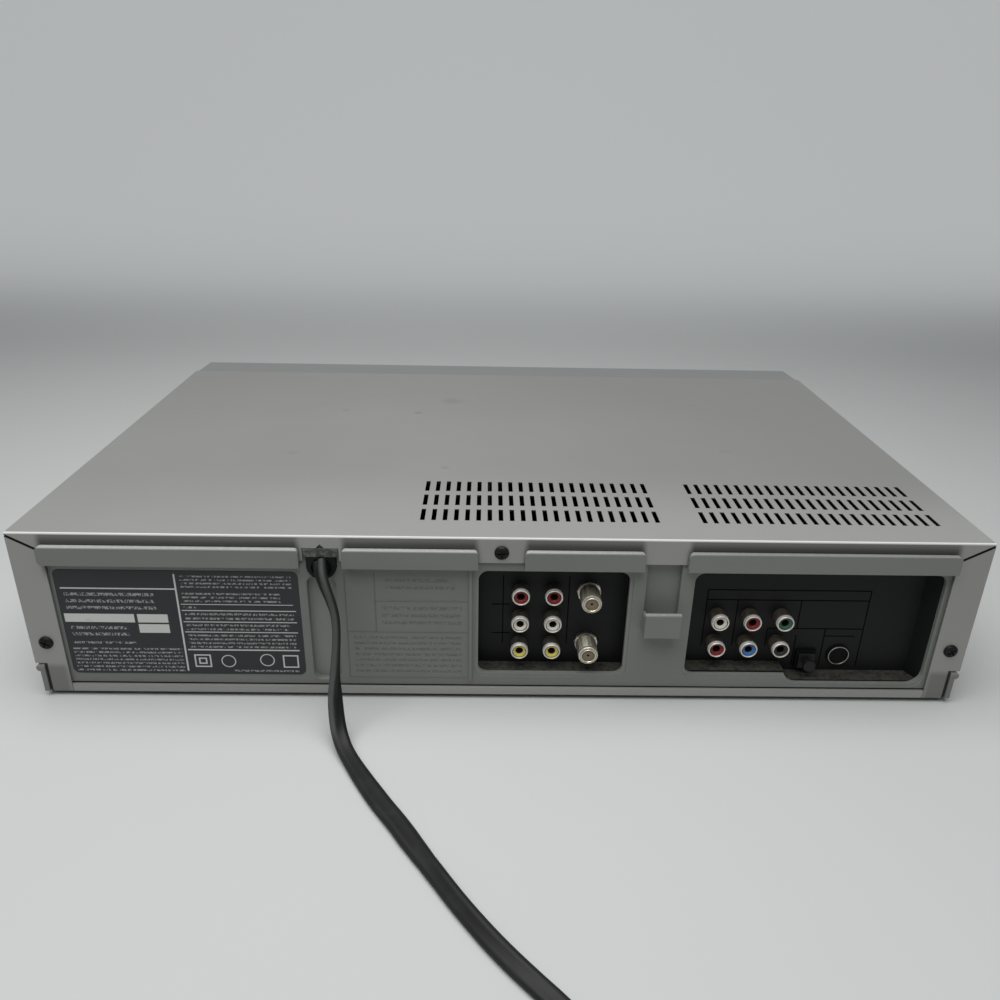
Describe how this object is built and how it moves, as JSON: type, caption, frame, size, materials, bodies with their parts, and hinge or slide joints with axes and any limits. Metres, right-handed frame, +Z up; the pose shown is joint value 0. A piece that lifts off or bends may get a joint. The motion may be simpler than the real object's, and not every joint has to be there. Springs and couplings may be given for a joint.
{
  "type": "dvd and vcr combination player",
  "caption": "Flat home video player in one case: a disc tray and a cassette deck, sheet-steel cover with vents, jack panel and mains cord at the rear.",
  "frame": {"origin": "centre of the underside, on the surface that the feet stand on", "axes": "+Z up, the front with the tray faces -Y, the jacks face +Y, +X along the width"},
  "size_m": [0.43, 0.5587, 0.085],
  "materials": {
    "cover_paint": "satin silver-grey paint",
    "base_steel": "zinc-plated sheet",
    "foot_rubber": "matte",
    "black_screw": "black",
    "panel_plastic": "fine matte grain",
    "label_film": "printed film",
    "jack_plastic": "matte black",
    "nickel": "nickel plate",
    "insert_red": "gloss",
    "insert_white": "gloss",
    "insert_yellow": "gloss",
    "insert_green": "gloss",
    "insert_blue": "gloss",
    "insert_black": "gloss",
    "cord_rubber": "soft black",
    "plug_plastic": "moulded black with plated blades",
    "front_plastic": "silver paint",
    "window_plastic": "smoked",
    "button_plastic": "grey silver",
    "board": "green laminate",
    "power_board": "brown laminate",
    "transformer": "yellow tape on a steel core",
    "capacitor": "dark sleeve",
    "bare_aluminium": "extruded",
    "tin_plate": "tin plate",
    "loader_plastic": "black moulding",
    "gear_plastic": "natural acetal",
    "zinc_steel": "zinc-plated steel",
    "drum_aluminium": "turned",
    "roller_rubber": "ground"
  },
  "bodies": {
    "root": {"top_cover": "cover_paint", "chassis_base": "base_steel", "feet": "foot_rubber", "cover_screws": "black_screw", "rear_panel": "panel_plastic", "rating_label": "label_film", "av_jack_plate": "jack_plastic", "dvd_jack_plate": "jack_plastic", "rca_shells": "nickel", "rca_inserts_red": "insert_red", "rca_inserts_white": "insert_white", "rca_inserts_yellow": "insert_yellow", "rca_insert_green": "insert_green", "rca_insert_blue": "insert_blue", "rca_insert_black": "insert_black", "rf_connectors": "nickel", "svideo_socket": "jack_plastic", "optical_socket": "jack_plastic", "strain_relief": "cord_rubber", "power_cord": "cord_rubber", "power_cord_coil": "cord_rubber", "power_plug": "plug_plastic", "front_panel": "front_plastic", "display_window": "window_plastic", "front_board": "board", "main_board": "board", "power_board": "power_board", "transformer": "transformer", "capacitors": "capacitor", "heat_sink": "bare_aluminium", "tuner_module": "tin_plate", "loader_frame": "loader_plastic", "deck_chassis": "zinc_steel", "cassette_frame": "zinc_steel", "drum_base": "drum_aluminium", "tape_heads": "zinc_steel"},
    "tray": {"disc_tray": "loader_plastic", "tray_front": "front_plastic"},
    "tray_gear": {"tray_gear": "gear_plastic"},
    "disc_turntable": {"disc_turntable": "loader_plastic"},
    "optical_sled": {"optical_sled": "loader_plastic"},
    "disc_clamp": {"disc_clamp": "loader_plastic"},
    "carriage": {"carriage_guides": "gear_plastic"},
    "cassette_holder": {"cassette_holder": "zinc_steel"},
    "supply_reel": {"supply_reel": "loader_plastic"},
    "takeup_reel": {"takeup_reel": "loader_plastic"},
    "head_drum": {"head_drum": "drum_aluminium"},
    "capstan": {"capstan": "zinc_steel"},
    "pinch_arm": {"pinch_arm": "zinc_steel"},
    "pinch_roller": {"pinch_roller": "roller_rubber"},
    "cassette_door": {"cassette_door": "front_plastic"},
    "optical_dust_plug": {"optical_dust_plug": "jack_plastic"},
    "power_button": {"power_button": "button_plastic"},
    "tray_button": {"tray_button": "button_plastic"},
    "eject_button": {"eject_button": "button_plastic"},
    "rewind_button": {"rewind_button": "button_plastic"},
    "play_button": {"play_button": "button_plastic"},
    "forward_button": {"forward_button": "button_plastic"},
    "stop_button": {"stop_button": "button_plastic"},
    "record_button": {"record_button": "button_plastic"}
  },
  "joints": [
    {"name": "tray_slide", "type": "slide", "parent": "root", "child": "tray", "axis": [0, -1, 0], "range_m": [0, 0.128]},
    {"name": "tray_gear_turn", "type": "hinge", "parent": "root", "child": "tray_gear", "pos_m": [-0.1786, -0.1, 0.057], "axis": [0, 0, 1], "range_deg": [-5, 745]},
    {"name": "turntable_spin", "type": "hinge", "parent": "root", "child": "disc_turntable", "pos_m": [-0.13, -0.07, 0.06], "axis": [0, 0, 1], "continuous": true},
    {"name": "clamp_spin", "type": "hinge", "parent": "root", "child": "disc_clamp", "pos_m": [-0.13, -0.07, 0.074], "axis": [0, 0, 1], "continuous": true},
    {"name": "sled_slide", "type": "slide", "parent": "root", "child": "optical_sled", "axis": [0, 1, 0], "range_m": [0, 0.034]},
    {"name": "carriage_slide", "type": "slide", "parent": "root", "child": "carriage", "axis": [0, 1, 0], "range_m": [0, 0.05]},
    {"name": "holder_drop", "type": "slide", "parent": "carriage", "child": "cassette_holder", "axis": [0, 0, -1], "range_m": [0, 0.017]},
    {"name": "supply_reel_spin", "type": "hinge", "parent": "root", "child": "supply_reel", "pos_m": [0.059, -0.03, 0.03], "axis": [0, 0, 1], "continuous": true},
    {"name": "takeup_reel_spin", "type": "hinge", "parent": "root", "child": "takeup_reel", "pos_m": [0.151, -0.03, 0.03], "axis": [0, 0, 1], "continuous": true},
    {"name": "head_drum_spin", "type": "hinge", "parent": "root", "child": "head_drum", "pos_m": [0.10308, 0.03, 0.04541], "axis": [-0.0958, 0, 0.9954], "continuous": true},
    {"name": "capstan_spin", "type": "hinge", "parent": "root", "child": "capstan", "pos_m": [0.153, 0.014, 0.025], "axis": [0, 0, 1], "continuous": true},
    {"name": "pinch_arm_swing", "type": "hinge", "parent": "root", "child": "pinch_arm", "pos_m": [0.179, 0.024, 0.03], "axis": [0, 0, 1], "range_deg": [0, 35], "stiffness_Nm_per_rad": 0.02, "springref_deg": -11.46},
    {"name": "pinch_roller_spin", "type": "hinge", "parent": "pinch_arm", "child": "pinch_roller", "pos_m": [0.16027, 0.031, 0.04], "axis": [0, 0, 1], "continuous": true},
    {"name": "cassette_door_swing", "type": "hinge", "parent": "root", "child": "cassette_door", "pos_m": [0.105, -0.14575, 0.0744], "axis": [1, 0, 0], "range_deg": [0, 80], "stiffness_Nm_per_rad": 0.01, "springref_deg": -17.19},
    {"name": "power_press", "type": "slide", "parent": "root", "child": "power_button", "axis": [0, 1, 0], "range_m": [0, 0.0008], "stiffness_N_per_m": 300, "springref_m": -0.001},
    {"name": "tray_press", "type": "slide", "parent": "root", "child": "tray_button", "axis": [0, 1, 0], "range_m": [0, 0.0008], "stiffness_N_per_m": 300, "springref_m": -0.001},
    {"name": "eject_press", "type": "slide", "parent": "root", "child": "eject_button", "axis": [0, 1, 0], "range_m": [0, 0.0008], "stiffness_N_per_m": 300, "springref_m": -0.001},
    {"name": "rewind_press", "type": "slide", "parent": "root", "child": "rewind_button", "axis": [0, 1, 0], "range_m": [0, 0.0008], "stiffness_N_per_m": 300, "springref_m": -0.001},
    {"name": "play_press", "type": "slide", "parent": "root", "child": "play_button", "axis": [0, 1, 0], "range_m": [0, 0.0008], "stiffness_N_per_m": 300, "springref_m": -0.001},
    {"name": "forward_press", "type": "slide", "parent": "root", "child": "forward_button", "axis": [0, 1, 0], "range_m": [0, 0.0008], "stiffness_N_per_m": 300, "springref_m": -0.001},
    {"name": "stop_press", "type": "slide", "parent": "root", "child": "stop_button", "axis": [0, 1, 0], "range_m": [0, 0.0008], "stiffness_N_per_m": 300, "springref_m": -0.001},
    {"name": "record_press", "type": "slide", "parent": "root", "child": "record_button", "axis": [0, 1, 0], "range_m": [0, 0.0008], "stiffness_N_per_m": 300, "springref_m": -0.001},
    {"name": "dust_plug_pull", "type": "slide", "parent": "root", "child": "optical_dust_plug", "axis": [0, 1, 0], "range_m": [0, 0.012]}
  ],
  "couplings": [
    {"joint": "tray_gear_turn", "follows": "tray_slide", "rad_per_m": 100}
  ]
}
